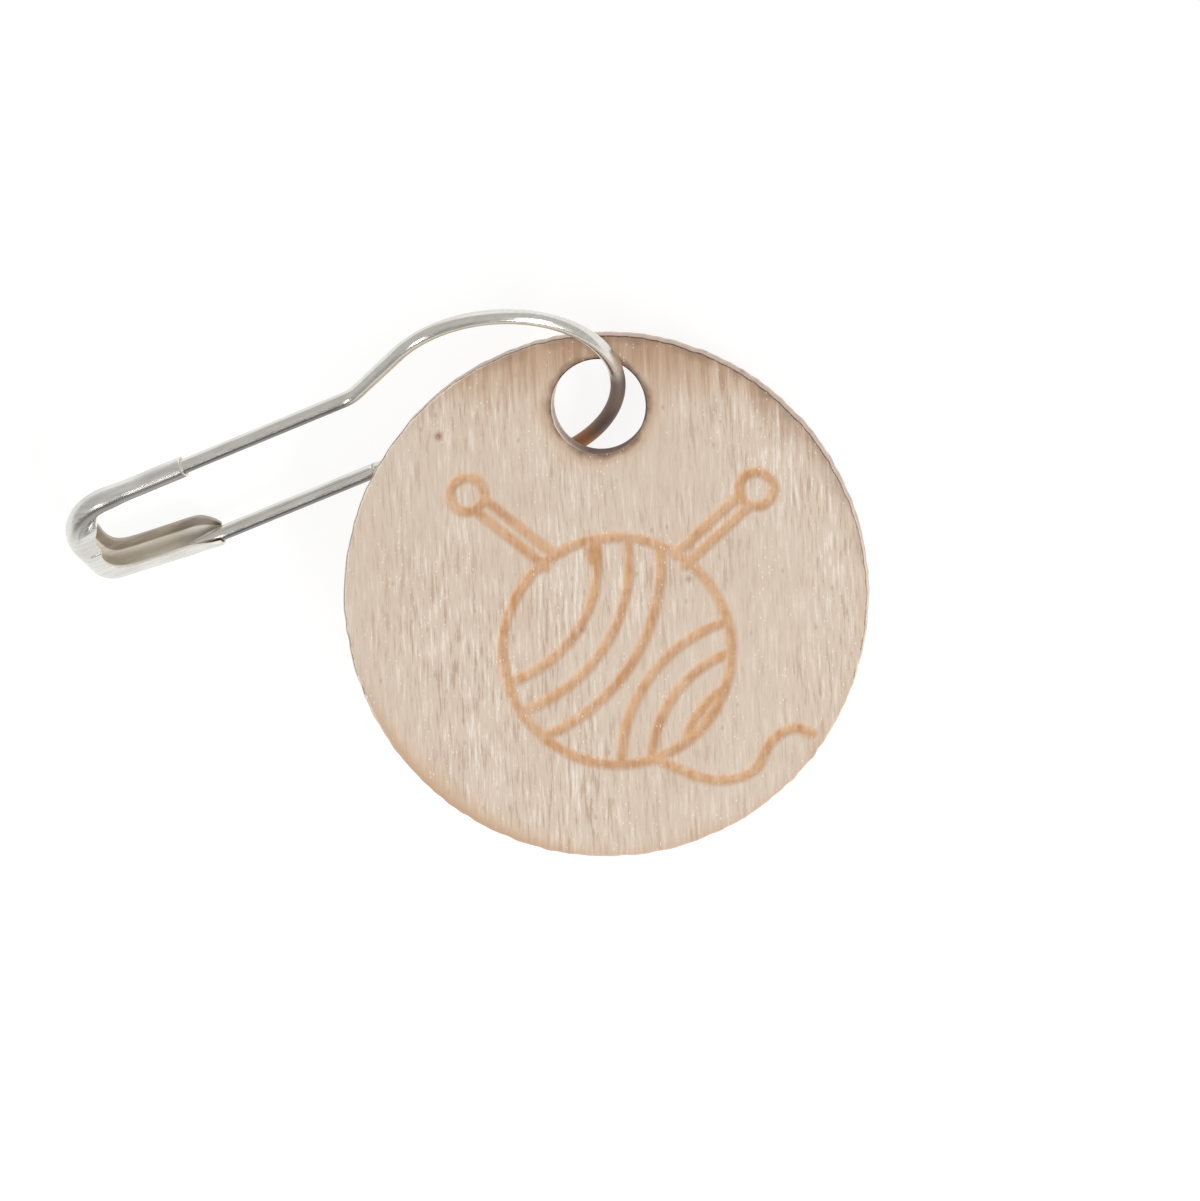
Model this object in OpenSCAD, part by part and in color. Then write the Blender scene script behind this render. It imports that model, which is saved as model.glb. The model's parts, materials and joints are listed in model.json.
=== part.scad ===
// Stitch marker: a bulb-shaped safety pin of sprung wire with a folded sheet clasp,
// threaded through the hole of a round wooden charm, as the two lie on a table.
// The pin is drawn in its own frame: X from the clasp to the bulb, Y from the pointed arm
// to the fixed arm, Z towards the front. The charm is drawn about the axis of its hole.

/* [Wire] */
// Length of the pin over clasp and bulb
pin_length = 22.15; // [20:0.1:26]
// Diameter of the wire
wire_d = 0.55; // [0.45:0.01:0.6]
// Distance between the two straight arms, centre to centre
arm_gap = 4.24; // [3.8:0.02:4.8]
// Radius of the bulb, to the middle of the wire
bulb_r = 4.4; // [4:0.05:5]
// How far the bulb's centre lies towards the pointed arm
bulb_drop = 0.68; // [0:0.02:0.9]
// Angle at which the fixed arm flares into the bulb
upper_flare = 24.5; // [18:0.5:32]
// Angle at which the pointed arm flares into the bulb
lower_flare = 40; // [34:0.5:46]
// Radius of the bend between the fixed arm and its flare
upper_neck_r = 1.6; // [1:0.1:2.2]
// Radius of the bend between the pointed arm and its flare
lower_neck_r = 2.7; // [1.6:0.1:3]
// Distance from the clasp's end to the wire's point
point_x = 2.95; // [2.7:0.05:3.4]
// Length of the ground point
point_len = 2; // [1.4:0.1:2.4]
// Radius left at the very tip
tip_r = 0.02; // [0.01:0.01:0.05]
// Running clearance of the ball that the pointed arm turns on, at the lower neck
ball_gap = 0.02; // [0.01:0.01:0.05]

/* [Clasp] */
// Thickness of the sheet
sheet_t = 0.1; // [0.07:0.01:0.12]
// Clearance between the fixed arm and the tube crimped round it
crimp_gap = 0.01; // [0.005:0.005:0.03]
// Play on each side of the pointed arm in its channel
channel_play = 0.05; // [0.04:0.01:0.08]
// Distance from the clasp's end to the mouth of the tube
tube_end = 5.9; // [5:0.05:7]
// Length of the flared root of the tube
tube_flare = 0.9; // [0.5:0.1:1.5]
// Width of the seam left along the inside of the tube
seam_w = 0.08; // [0.05:0.01:0.15]
// How far the end of the arm is held inside the tube, beyond its flared root
arm_in_tube = 2.2; // [1.5:0.1:2.6]
// How far the tube's wrap carries on round the bend, in degrees
wrap_angle = 20; // [10:1:30]
// Distance from the clasp's end to the end of the open channel
channel_end = 4.95; // [4.5:0.05:5.6]
// Slope of the channel away from the fixed arm, in degrees
channel_slope = 6.9; // [4:0.1:9]
// Radius of the corner between the clasp's end and the channel
corner_r = 0.5; // [0.4:0.05:0.8]
// Clearance under the point at the channel's mouth
floor_gap = 0.06; // [0.03:0.01:0.12]
// Depth of the front wall round the bend
front_depth = 0.52; // [0.4:0.02:0.7]
// Height of the front lip over the middle of the channel
lip_h = 0.25; // [0.15:0.01:0.35]
// Depth of the rear wall round the bend
rear_depth = 0.85; // [0.7:0.05:1]
// Height of the rear wall over the middle of the channel
rear_h = 0.87; // [0.6:0.01:1]
// Radius of the corners inside the front opening
front_corner_r = 0.35; // [0.2:0.05:0.5]
// Radius of the corner inside the rear wall
rear_corner_r = 0.8; // [0.5:0.05:0.9]
// How far the rear wall carries on past the channel's mouth
tongue_over = 0.1; // [0:0.02:0.2]
// Radius of the rear wall's rounded tongue
tongue_r = 0.7; // [0.4:0.05:0.8]

/* [Charm] */
// Diameter of the wooden disc
disc_d = 19.1; // [16:0.1:22]
// Thickness of the wooden disc
disc_t = 1.5; // [1:0.1:1.7]
// Diameter of the hole
hole_d = 3.4; // [3.3:0.1:4]
// Wood left between the hole and the disc's edge
hole_rim = 0.91; // [0.7:0.01:1.2]

/* [Lie on the table] */
// Lean of the pin's plane about its long axis, in degrees
pin_lean = 48.7; // [44:0.1:54]
// Tilt of the disc from the table, in degrees
disc_tilt = 7.75; // [6:0.05:9]
// Direction in which the disc slopes down, in degrees from X
disc_downhill = -27.4; // [-40:0.1:-15]
// Turn of the disc about its hole, in degrees, with 0 for a disc straight below it
disc_turn = -21; // [-23:0.5:-12]
// Distance from the wire to the hole's centre, where the wire crosses the disc
thread_inset = 0.65; // [0.5:0.05:0.75]

/* [Hidden] */
$fn = 64;
eps = 0.01;
wire_r = wire_d / 2;
// Straight wire between two bends: how far it enters them, and how much thinner it is
wire_lap = 0.05;
wire_step = 0.002;
arm_y = arm_gap / 2;

// Clasp sections
tube_r_in = wire_r + crimp_gap;
tube_r_out = tube_r_in + sheet_t;
channel_r_in = wire_r + channel_play;
channel_r_out = channel_r_in + sheet_t;
wall_lap = 0.06;

// Middle line of the clasp's strip: tube, bend, end, corner and channel
bend_x = channel_r_out + arm_y;
end_x = channel_r_out;
channel_dir = [cos(channel_slope), -sin(channel_slope)];
channel_up = [sin(channel_slope), cos(channel_slope)];
mouth = [channel_end, -arm_y - wire_r - floor_gap + channel_r_in];
corner_turn = 90 - channel_slope;
corner_tan = corner_r * tan(corner_turn / 2);
corner_pt = mouth + channel_dir * (end_x - mouth.x) / channel_dir.x;
corner_c = [end_x + corner_r, corner_pt.y + corner_tan];
channel_start = corner_pt + corner_tan * channel_dir;
channel_len = norm(mouth - channel_start);

// Middle line of the wire
bulb_c = [pin_length - wire_r - bulb_r, -bulb_drop];
upper_tan = bulb_c + bulb_r * [-sin(upper_flare), cos(upper_flare)];
lower_tan = bulb_c - bulb_r * [sin(lower_flare), cos(lower_flare)];
upper_neck_x = upper_tan.x - (upper_tan.y - arm_y) / tan(upper_flare) - upper_neck_r * tan(upper_flare / 2);
lower_neck_x = lower_tan.x - (-arm_y - lower_tan.y) / tan(lower_flare) - lower_neck_r * tan(lower_flare / 2);
upper_neck_c = [upper_neck_x, arm_y + upper_neck_r];
lower_neck_c = [lower_neck_x, -arm_y - lower_neck_r];
arm_start = tube_end - arm_in_tube;
ball_c = [lower_neck_x, -arm_y];

// Directions of the pin's Z and Y axes against the vertical, for a pitch p of its long axis
function front_z(p) = cos(p) * cos(pin_lean);
function across_z(p) = cos(p) * sin(pin_lean);

// Pitch of the long axis at which the clasp's corner and the bulb both touch the table
function settled_pitch(p, steps) =
    steps == 0 ? p
    : settled_pitch(
        asin(((bulb_r - corner_r) * sqrt(1 - pow(front_z(p), 2)) + wire_r - channel_r_out
            - (bulb_c.y - corner_c.y) * across_z(p)) / (bulb_c.x - corner_c.x)),
        steps - 1);
pin_pitch = settled_pitch(8, 8);

// A point of the pin's plane, turned onto the table but not yet moved
function turned(q) =
    let (y = q.y * cos(pin_lean), z = q.y * sin(pin_lean))
    [q.x * cos(pin_pitch) - z * sin(pin_pitch), y, q.x * sin(pin_pitch) + z * cos(pin_pitch)];

// Distance from the disc's centre to the hole's centre
hole_offset = disc_d / 2 - hole_rim - hole_d / 2;

// Heights: the bulb and the disc's edge rest on the table
bulb_z = bulb_r * sqrt(1 - pow(front_z(pin_pitch), 2)) + wire_r;
disc_z = disc_d / 2 * sin(disc_tilt) + disc_t / 2 * cos(disc_tilt);
disc_n = [sin(disc_tilt) * cos(disc_downhill), sin(disc_tilt) * sin(disc_downhill), cos(disc_tilt)];
hole_turn = disc_turn - disc_downhill;
from_disc = [
    cos(disc_downhill) * -sin(hole_turn) * cos(disc_tilt) - sin(disc_downhill) * cos(hole_turn),
    sin(disc_downhill) * -sin(hole_turn) * cos(disc_tilt) + cos(disc_downhill) * cos(hole_turn),
    sin(hole_turn) * sin(disc_tilt)
] * hole_offset;
hole_z = disc_z + from_disc.z;

// Where the bulb's wire crosses the middle of the disc
wire_slope_z = bulb_r * norm([sin(pin_pitch), across_z(pin_pitch)]);
cross_z = hole_z - disc_n.x / disc_n.z * thread_inset - bulb_z;
cross_angle = atan2(across_z(pin_pitch), sin(pin_pitch)) - acos(cross_z / wire_slope_z);
crossing = turned(bulb_c + bulb_r * [cos(cross_angle), sin(cross_angle)]);

// Box of the marker on the table, with the pin's origin at X 0 and Y 0
hole_xy = [crossing.x - thread_inset, crossing.y];
disc_xy = hole_xy - [from_disc.x, from_disc.y];
half_disc = [for (i = [0, 1]) disc_d / 2 * sqrt(1 - pow(disc_n[i], 2)) + disc_t / 2 * abs(disc_n[i])];
x_low = bend_x * cos(pin_pitch) - arm_y * norm([cos(pin_pitch), sin(pin_lean) * sin(pin_pitch)])
    - channel_r_out;
x_high = disc_xy.x + half_disc.x;
y_low = disc_xy.y - half_disc.y;
y_high = turned(bulb_c).y + bulb_r * cos(pin_lean) + wire_r;
pin_pos = [-(x_low + x_high) / 2, -(y_low + y_high) / 2, bulb_z - turned(bulb_c).z];
hole_pos = [hole_xy.x + pin_pos.x, hole_xy.y + pin_pos.y, hole_z];

// Points along an arc
function arc(c, r, from, to, n) = [for (i = [0:n]) c + r * [cos(from + (to - from) * i / n),
                                                           sin(from + (to - from) * i / n)]];

// A point of the channel: t along it from its start, h over its middle line
function channel_pt(t, h) = channel_start + t * channel_dir + h * channel_up;

// Stands the pin on the table
module on_table() {
    translate(pin_pos)
        rotate([0, -pin_pitch, 0])
            rotate([pin_lean, 0, 0])
                children();
}

// A straight stretch of wire between two points of the pin's plane
module straight(from, to, r = wire_r) {
    run = to - from;
    translate([from.x, from.y, 0])
        rotate([0, 0, atan2(run.y, run.x)])
            rotate([0, 90, 0])
                cylinder(h = norm(run), r = r);
}

// A straight stretch between two bends, entering each of them
module link(from, to) {
    way = (to - from) / norm(to - from);
    straight(from - wire_lap * way, to + wire_lap * way, wire_r - wire_step);
}

// A bent stretch of wire in the pin's plane
module bend(centre, radius, from, turn) {
    translate([centre.x, centre.y, 0])
        rotate([0, 0, from])
            rotate_extrude(angle = turn)
                translate([radius, 0])
                    circle(r = wire_r);
}

// Section of the strip in the bend and channel: a round web with the roots of two walls
module web_section() {
    difference() {
        union() {
            intersection() {
                circle(r = channel_r_out);
                translate([0, -channel_r_out])
                    square([channel_r_out, 2 * channel_r_out]);
            }
            translate([-wall_lap, -channel_r_out])
                square([wall_lap, 2 * channel_r_out]);
        }
        circle(r = channel_r_in);
        translate([-wall_lap - eps, -channel_r_in])
            square([wall_lap + eps, 2 * channel_r_in]);
    }
}

module web_bend(centre, radius, from, turn) {
    translate([centre.x, centre.y, 0])
        rotate([0, 0, from])
            rotate_extrude(angle = turn)
                translate([radius, 0])
                    web_section();
}

module web_run(from, to) {
    run = to - from;
    translate([from.x, from.y, 0])
        rotate([0, 0, atan2(run.y, run.x)])
            rotate([90, 0, 90])
                linear_extrude(height = norm(run))
                    mirror([1, 0])
                        web_section();
}

// Edge of a wall along the strip's middle line, from the tube's wrap to the channel's mouth
wall_back = concat(
    arc([bend_x, 0], arm_y, 90 + wrap_angle, 180, 12),
    arc(corner_c, corner_r, 180, 180 + corner_turn, 8),
    [mouth]);

// Front wall: narrow round the bend, and only a low lip along the channel
front_x = end_x + front_depth;
front_turn_c = [front_x + front_corner_r,
    channel_pt(0, lip_h).y - (front_x + front_corner_r - channel_pt(0, lip_h).x) * tan(channel_slope)
        + front_corner_r / cos(channel_slope)];
front_wall = concat(
    wall_back,
    [channel_pt(channel_len, lip_h / 2), channel_pt(channel_len - lip_h / 2, lip_h)],
    arc(front_turn_c, front_corner_r, 270 - channel_slope, 180, 6),
    arc([bend_x, 0], arm_y - front_depth, 180, 90 + wrap_angle, 12));

// Rear wall: deep all round, ending in a rounded tongue
rear_x = end_x + rear_depth;
rear_turn_c = [rear_x + rear_corner_r,
    channel_pt(0, rear_h).y - (rear_x + rear_corner_r - channel_pt(0, rear_h).x) * tan(channel_slope)
        + rear_corner_r / cos(channel_slope)];
rear_wall = concat(
    wall_back,
    arc(channel_pt(channel_len + tongue_over - tongue_r, rear_h - tongue_r), tongue_r,
        -channel_slope, 90 - channel_slope, 10),
    arc(rear_turn_c, rear_corner_r, 270 - channel_slope, 180, 10),
    arc([bend_x, 0], arm_y - rear_depth, 180, 90 + wrap_angle, 12));

// Sheet clasp: a seamed tube, its wrap opening round the bend into a walled channel
module clasp() {
    color("silver")
        on_table() {
            difference() {
                union() {
                    straight([bend_x + tube_flare, arm_y], [tube_end, arm_y], tube_r_out);
                    translate([bend_x, arm_y, 0])
                        rotate([0, 90, 0])
                            cylinder(h = tube_flare, r1 = channel_r_out, r2 = tube_r_out);
                }
                straight([bend_x + tube_flare - eps, arm_y], [tube_end + eps, arm_y], tube_r_in);
                translate([bend_x - eps, arm_y, 0])
                    rotate([0, 90, 0])
                        cylinder(h = tube_flare + eps, r1 = channel_r_in, r2 = tube_r_in);
                translate([bend_x - eps, arm_y - channel_r_out - eps, -seam_w / 2])
                    cube([tube_end - bend_x + 2 * eps, channel_r_out, seam_w]);
            }
            translate([bend_x, 0, 0])
                rotate([0, 0, 90])
                    rotate_extrude(angle = wrap_angle)
                        translate([arm_y, 0])
                            difference() {
                                circle(r = channel_r_out);
                                circle(r = channel_r_in);
                                translate([-channel_r_out - eps, -seam_w / 2])
                                    square([channel_r_out, seam_w]);
                            }
            web_bend([bend_x, 0], arm_y, 90 + wrap_angle, 90 - wrap_angle);
            web_run([end_x, 0], [end_x, corner_c.y]);
            web_bend(corner_c, corner_r, 180, corner_turn);
            web_run(channel_start, mouth);
            translate([0, 0, channel_r_in])
                linear_extrude(height = sheet_t)
                    polygon(front_wall);
            translate([0, 0, -channel_r_out])
                linear_extrude(height = sheet_t)
                    polygon(rear_wall);
        }
}

// Wire of the fixed arm and the bulb, down to the cup where the pointed arm turns
module bulb_wire() {
    color("gainsboro")
        on_table()
            difference() {
                union() {
                    straight([arm_start, arm_y], [upper_neck_x + wire_lap, arm_y], wire_r - wire_step);
                    bend(upper_neck_c, upper_neck_r, -90, upper_flare);
                    link(upper_neck_c + upper_neck_r * [sin(upper_flare), -cos(upper_flare)], upper_tan);
                    bend(bulb_c, bulb_r, -90 - lower_flare, 180 + upper_flare + lower_flare);
                    link(lower_tan, lower_neck_c + lower_neck_r * [sin(lower_flare), cos(lower_flare)]);
                    bend(lower_neck_c, lower_neck_r, 90 - lower_flare, lower_flare);
                }
                translate([ball_c.x, ball_c.y, 0])
                    sphere(r = wire_r + ball_gap);
            }
}

// Pointed arm, with a round end in the cup and its point in the clasp's channel
module pin_arm() {
    color("gainsboro")
        on_table() {
            translate([ball_c.x, ball_c.y, 0])
                sphere(r = wire_r);
            straight([point_x + point_len, -arm_y], ball_c);
            translate([point_x + point_len, -arm_y, 0])
                rotate([0, -90, 0])
                    cylinder(h = point_len, r1 = wire_r, r2 = tip_r);
        }
}

// Wooden disc with the hole near its edge
module wood_disc() {
    color("tan")
        translate(hole_pos)
            rotate([0, 0, disc_downhill])
                rotate([0, disc_tilt, 0])
                    rotate([0, 0, hole_turn])
                        difference() {
                            translate([0, -hole_offset, -disc_t / 2])
                                cylinder(h = disc_t, d = disc_d);
                            translate([0, 0, -disc_t])
                                cylinder(h = 2 * disc_t, d = hole_d);
                        }
}

clasp();
bulb_wire();
pin_arm();
wood_disc();
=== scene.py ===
import functools
import json
import math

import bpy
import numpy as np
from mathutils import Matrix, Vector


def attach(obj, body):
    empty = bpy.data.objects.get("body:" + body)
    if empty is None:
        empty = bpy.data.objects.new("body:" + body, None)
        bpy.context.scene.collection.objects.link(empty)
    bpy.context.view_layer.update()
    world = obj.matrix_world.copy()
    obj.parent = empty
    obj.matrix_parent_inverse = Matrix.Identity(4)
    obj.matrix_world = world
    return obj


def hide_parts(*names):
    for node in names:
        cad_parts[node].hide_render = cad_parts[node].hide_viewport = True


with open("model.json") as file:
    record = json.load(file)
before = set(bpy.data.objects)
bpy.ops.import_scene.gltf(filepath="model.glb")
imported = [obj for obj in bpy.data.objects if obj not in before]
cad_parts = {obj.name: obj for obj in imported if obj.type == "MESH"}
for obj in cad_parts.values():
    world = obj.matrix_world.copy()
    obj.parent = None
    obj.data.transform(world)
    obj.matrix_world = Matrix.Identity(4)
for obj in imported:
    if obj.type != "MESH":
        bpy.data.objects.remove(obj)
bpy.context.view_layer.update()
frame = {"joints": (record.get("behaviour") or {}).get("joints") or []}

MM = 0.001
TAU = 2 * math.pi

# ---------------------------------------------------------------- sizes in mm, as in the CAD source
# where the pin and the disc lie
joints = {j["name"]: j for j in frame["joints"]}
PITCH, LEAN = math.radians(8.561), math.radians(48.7)
PIN_POS = Vector((-13.7269, 7.8015, 1.5125)) * MM
HOLE_POS = Vector(joints["charm_swing"]["pos_m"])
TILT, DOWNHILL, TURN = math.radians(7.75), math.radians(-27.4), math.radians(-21.0)

# wire: two straight arms, two necks and the bulb, in the pin's own plane
WIRE_R, ARM_Y, BULB_R = 0.275, 2.12, 4.4
BULB = np.array([17.475, -0.68])
UP_R, UP_TURN = 1.6, 24.5
LO_R, LO_TURN = 2.7, 40.0
WIRE_X, WIRE_CHAMFER = 3.7, 0.03
CUP_CLEARANCE = 0.02
POINT_X, POINT_LENGTH, POINT_FLAT_R, POINT_CAP = 2.95, 2.0, 0.02, (0.012, 0.006)

# clasp: one folded sheet, given by its middle surface
SHEET = 0.1
WRAP_R, CHANNEL_R = 0.335, 0.375
TUBE_X, END_X, CORNER_R = 5.9, 0.425, 0.5
BEND_X = END_X + ARM_Y
SLOPE_DEG = 6.9
SLOPE = math.radians(SLOPE_DEG)
MOUTH = np.array([4.95, -2.13])

# disc, about its own centre, with the hole towards +Y
DISC_R, DISC_T, HOLE_R, HOLE_OFF = 9.55, 1.5, 1.7, 6.94
DISC_EDGE = 0.05

PIN = (Matrix.Translation(PIN_POS) @ Matrix.Rotation(-PITCH, 4, "Y")
       @ Matrix.Rotation(LEAN, 4, "X"))
DISC = (Matrix.Translation(HOLE_POS) @ Matrix.Rotation(DOWNHILL, 4, "Z")
        @ Matrix.Rotation(TILT, 4, "Y") @ Matrix.Rotation(TURN - DOWNHILL, 4, "Z")
        @ Matrix.Translation((0, -HOLE_OFF * MM, 0)))


# ---------------------------------------------------------------- outlines in a plane
def arc_pts(centre, radius, start, end, n):
    """Points along an arc, from one angle to another in degrees."""
    a = np.radians(np.linspace(start, end, n))
    return np.stack([centre[0] + radius * np.cos(a), centre[1] + radius * np.sin(a)], 1)


def line_pts(a, b, n):
    t = np.linspace(0, 1, n)[:, None]
    return np.asarray(a) * (1 - t) + np.asarray(b) * t


def joined(*parts):
    """One path out of parts that each start where the last one ends."""
    return np.concatenate([parts[0]] + [part[1:] for part in parts[1:]])


def rounded(points, rounds=3):
    """A line of points with its corners cut, a few times over."""
    points = np.asarray(points, float)
    for _ in range(rounds):
        cut_pts = [points[0]]
        for a, b in zip(points[:-1], points[1:]):
            cut_pts += [a * 0.75 + b * 0.25, a * 0.25 + b * 0.75]
        points = np.array(cut_pts + [points[-1]])
    return points


def along(points, share):
    """The point at a share of a line's length."""
    steps = np.linalg.norm(np.diff(points, axis=0), axis=1)
    s = np.concatenate([[0], np.cumsum(steps)]) / steps.sum()
    return np.array([np.interp(share, s, points[:, 0]), np.interp(share, s, points[:, 1])])


def smoothstep(a, b, x):
    t = np.clip((np.asarray(x, float) - a) / (b - a), 0, 1)
    return t * t * (3 - 2 * t)


def heading(azimuth, height=0.0):
    """Unit vector towards an azimuth and a height, both in degrees."""
    a, h = math.radians(azimuth), math.radians(height)
    return Vector((math.cos(a) * math.cos(h), math.sin(a) * math.cos(h), math.sin(h)))


def axes(x, y, z, origin):
    """The matrix that puts an object's axes and origin at these vectors."""
    return Matrix((*((x[i], y[i], z[i], origin[i]) for i in range(3)), (0, 0, 0, 1)))


def new_object(name, verts, faces, matrix, body, materials, attrs):
    """A piece from points in mm of its own frame; the attribute "place" keeps those points in m."""
    mesh = bpy.data.meshes.new(name)
    own = np.asarray(verts, float) * MM
    mesh.from_pydata([matrix @ Vector(v) for v in own], [], faces)
    place = mesh.attributes.new("place", "FLOAT_VECTOR", "POINT")
    place.data.foreach_set("vector", own.ravel().astype(np.float32))
    for material in materials:
        mesh.materials.append(material)
    mesh.polygons.foreach_set("use_smooth", [True] * len(mesh.polygons))
    for key, values in attrs.items():
        attribute = mesh.attributes.new(key, "FLOAT", "POINT")
        attribute.data.foreach_set("value", np.asarray(values, np.float32))
    mesh.update()
    obj = bpy.data.objects.new(name, mesh)
    bpy.context.scene.collection.objects.link(obj)
    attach(obj, body)
    return obj


# ---------------------------------------------------------------- shader trees
class Tree:
    """A short way to write a node tree."""

    def __init__(self, tree):
        self.tree = tree

    def node(self, kind, **settings):
        n = self.tree.nodes.new("ShaderNode" + kind)
        for key, value in settings.items():
            setattr(n, key, value)
        return n

    def feed(self, socket, value):
        """Give a socket a link, a colour, a vector or a number."""
        if isinstance(value, bpy.types.NodeSocket):
            self.tree.links.new(value, socket)
        elif socket.type == "RGBA":
            socket.default_value = (*value, 1)
        else:
            socket.default_value = value

    def calc(self, op, a, b, clamp=False):
        n = self.node("Math", operation=op, use_clamp=clamp)
        self.feed(n.inputs[0], a)
        self.feed(n.inputs[1], b)
        return n.outputs[0]

    def add(self, a, b):
        return self.calc("ADD", a, b)

    def times(self, a, b, clamp=False):
        return self.calc("MULTIPLY", a, b, clamp)

    def most(self, first, *others, clamp=False):
        """The largest of some values."""
        for other in others:
            first = self.calc("MAXIMUM", first, other, clamp)
        return first

    def span(self, v, a, b, lo=0.0, hi=1.0, smooth=False):
        """From lo to hi as a value goes from a to b."""
        n = self.node("MapRange")
        if smooth:
            n.interpolation_type = "SMOOTHSTEP"
        for key, value in (("Value", v), ("From Min", a), ("From Max", b),
                           ("To Min", lo), ("To Max", hi)):
            self.feed(n.inputs[key], value)
        return n.outputs["Result"]

    def measure(self, op, vector, other=None):
        """A number from vectors: a LENGTH, a DISTANCE or a DOT_PRODUCT."""
        n = self.node("VectorMath", operation=op)
        self.feed(n.inputs[0], vector)
        if other is not None:
            self.feed(n.inputs[1], tuple(other))
        return n.outputs["Value"]


class Surface(Tree):
    """A material in the piece's own coordinates."""

    def __init__(self, name):
        self.mat = bpy.data.materials.new(name)
        self.mat.use_nodes = True
        super().__init__(self.mat.node_tree)

    @functools.cached_property
    def place(self):
        return self.attr("place", "Vector")

    def put(self, name, value):
        """Give an input of the Principled shader a link, a colour or a number."""
        self.feed(self.tree.nodes["Principled BSDF"].inputs[name], value)

    def attr(self, name, output="Fac"):
        return self.node("Attribute", attribute_name=name).outputs[output]

    def scaled(self, scale):
        n = self.node("Mapping")
        self.feed(n.inputs["Scale"], scale)
        self.feed(n.inputs["Vector"], self.place)
        return n.outputs["Vector"]

    def noise(self, scale, detail, rough, distort=0.0):
        n = self.node("TexNoise")
        for key, value in (("Vector", self.scaled(scale)), ("Scale", 1.0), ("Detail", detail),
                           ("Roughness", rough), ("Distortion", distort)):
            self.feed(n.inputs[key], value)
        return n.outputs["Fac"]

    def ramp(self, value, stops):
        n = self.node("ValToRGB")
        elements = n.color_ramp.elements
        while len(elements) < len(stops):
            elements.new(0.5)
        for element, (position, colour) in zip(elements, stops):
            element.position = position
            element.color = (*colour, 1)
        self.feed(n.inputs["Fac"], value)
        return n.outputs["Color"]

    def mix(self, share, a, b):
        n = self.node("Mix", data_type="RGBA")
        for index, value in ((0, share), (6, a), (7, b)):
            self.feed(n.inputs[index], value)
        return n.outputs[2]

    def bump(self, height, strength, distance):
        n = self.node("Bump")
        for key, value in (("Height", height), ("Strength", strength), ("Distance", distance)):
            self.feed(n.inputs[key], value)
        self.put("Normal", n.outputs["Normal"])

    def xyz(self):
        """The three own coordinates in m."""
        n = self.node("SeparateXYZ")
        self.feed(n.inputs[0], self.place)
        return n.outputs

    def lobe(self, azimuth, a, b):
        """0 to 1 as a point of the disc's edge nears an azimuth of the disc."""
        return self.span(self.measure("DOT_PRODUCT", self.scaled((105, 105, 0)), heading(azimuth)), a, b)

    def flecks(self, scale, share, core, edge):
        """Scattered small spots: 1 inside a spot, 0 elsewhere."""
        cell = self.node("TexVoronoi", voronoi_dimensions="2D")
        self.feed(cell.inputs["Scale"], 1.0)
        self.feed(cell.inputs["Vector"], self.scaled(scale))
        pick = self.node("SeparateColor")
        self.feed(pick.inputs[0], cell.outputs["Color"])
        spot = self.span(cell.outputs["Distance"], core, edge, 1.0, 0.0)
        return self.times(spot, self.span(pick.outputs[0], 1 - share, 1.02 - share), clamp=True)


# ---------------------------------------------------------------- metal
# colours of painted shade on the near flanks of the wire and the clasp
PAINTED_FLANK_SHADE, CLASP_PAINTED_FLANK_SHADE = (0.115, 0.107, 0.10), (0.12, 0.105, 0.098)
# colours of painted shade and reflection of the scorched hole, on the wire where it hangs in it
PAINTED_HOLE_SHADE, PAINTED_HOLE_REFLECTION = (0.205, 0.15, 0.125), (0.36, 0.175, 0.09)
CLASP_SHADE = (0.30, 0.24, 0.18)
STREAK_DEPTH = 0.00002


def metal(name, light, dark, streaks, bump, rough):
    """Nickel plate with fine drawing streaks: the surface, its colour and its roughness."""
    m = Surface(name)
    m.put("Metallic", 1.0)
    fine = m.noise(streaks, 3.0, 0.6)
    broad = m.noise((600, 600, 600), 2.0, 0.5)
    tone = m.mix(0.5, m.ramp(fine, [(0.35, dark), (0.65, light)]),
                 m.ramp(broad, [(0.3, dark), (0.7, light)]))
    m.bump(fine, bump, STREAK_DEPTH)
    return m, tone, m.span(fine, 0.3, 0.7, *rough)


# wire: bright drawn nickel, with painted shade on its near flank, and a painted brown shade and
# reflection of the scorched hole where it hangs in the hole
wire, tone, roughness = metal("wire_nickel", (0.80, 0.785, 0.735), (0.64, 0.625, 0.575),
                              (900, 9000, 9000), 0.015, (0.14, 0.19))
hole_shade_reflection = wire.attr("hole_shade_reflection")
tone = wire.mix(wire.times(wire.attr("painted_flank_shade"), 0.8), tone, PAINTED_FLANK_SHADE)
wire.put("Base Color", wire.mix(hole_shade_reflection, tone, wire.mix(wire.attr("warm_reflection"), PAINTED_HOLE_SHADE, PAINTED_HOLE_REFLECTION)))
wire.put("Metallic", wire.calc("SUBTRACT", 1.0, wire.times(hole_shade_reflection, 0.55)))
wire.put("Roughness", wire.add(roughness, wire.times(hole_shade_reflection, 0.35)))

clasp_out, tone, roughness = metal("clasp_outside", (0.84, 0.825, 0.785), (0.56, 0.54, 0.505),
                                   (600, 11000, 11000), 0.05, (0.168, 0.36))
# painted shade on the clasp's near flank
flank_shaded = clasp_out.mix(clasp_out.times(clasp_out.attr("painted_flank_shade"), 0.66), tone, CLASP_PAINTED_FLANK_SHADE)
clasp_out.put("Base Color", flank_shaded)
clasp_out.put("Roughness", roughness)

# the sheet's inside: bare and bright on the bed of the channel, shaded and dull above it
clasp_in, tone, roughness = metal("clasp_inside", (0.97, 0.925, 0.85), (0.78, 0.73, 0.66),
                                  (900, 5000, 9000), 0.35, (0.28, 0.60))
bed = clasp_in.attr("bed")
clasp_in.put("Base Color", clasp_in.mix(bed, clasp_in.mix(0.7, tone, CLASP_SHADE), tone))
clasp_in.put("Metallic", clasp_in.span(bed, 0.0, 1.0, 0.9, 0.3))
clasp_in.put("Roughness", roughness)

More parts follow.
